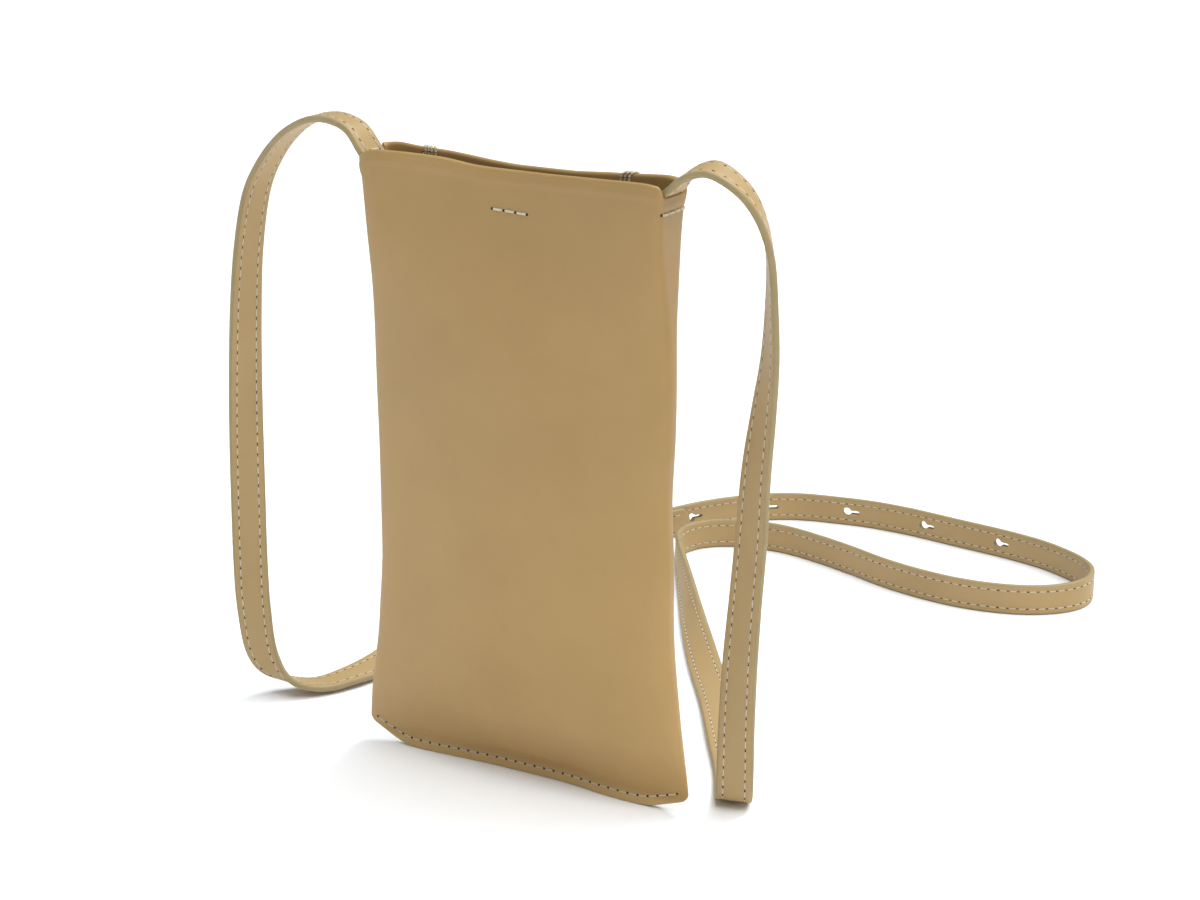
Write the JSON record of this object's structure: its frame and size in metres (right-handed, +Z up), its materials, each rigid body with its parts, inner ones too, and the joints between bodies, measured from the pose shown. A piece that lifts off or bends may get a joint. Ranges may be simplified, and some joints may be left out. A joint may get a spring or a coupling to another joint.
{
  "type": "phone pouch",
  "caption": "Tall flat leather phone pouch, open at the top, with pinched side folds and a long stud-fastened shoulder strap.",
  "frame": {"origin": "middle of the pouch's straight bottom edge, on the surface it stands on", "axes": "+Z up along the pouch's height, -Y out of the front wall, X along its width"},
  "size_m": [0.2235, 0.2912, 0.2045],
  "materials": {
    "leather": "smooth full-grain leather, satin, khaki tan",
    "leather_inside": "matte flesh side and pocket leather",
    "edge_paint": "flexible edge paint, satin",
    "thread": "waxed polyester thread",
    "nickel": "nickel plated magnet",
    "brass": "polished light gold"
  },
  "bodies": {
    "back": {"back_panel": "leather", "card_pocket": "leather_inside", "back_magnet": "nickel", "back_magnet_cover": "leather_inside", "long_strap": "leather", "short_strap": "leather", "button_stud": "brass", "stud_screw": "brass"},
    "front": {"front_panel": "leather", "front_magnet": "nickel", "front_magnet_cover": "leather_inside"}
  },
  "joints": [
    {"name": "mouth_open", "type": "hinge", "parent": "back", "child": "front", "pos_m": [0, -0.00155, 0], "axis": [1, 0, 0], "range_deg": [0, 5], "stiffness_Nm_per_rad": 0.12, "springref_deg": -5.73}
  ]
}
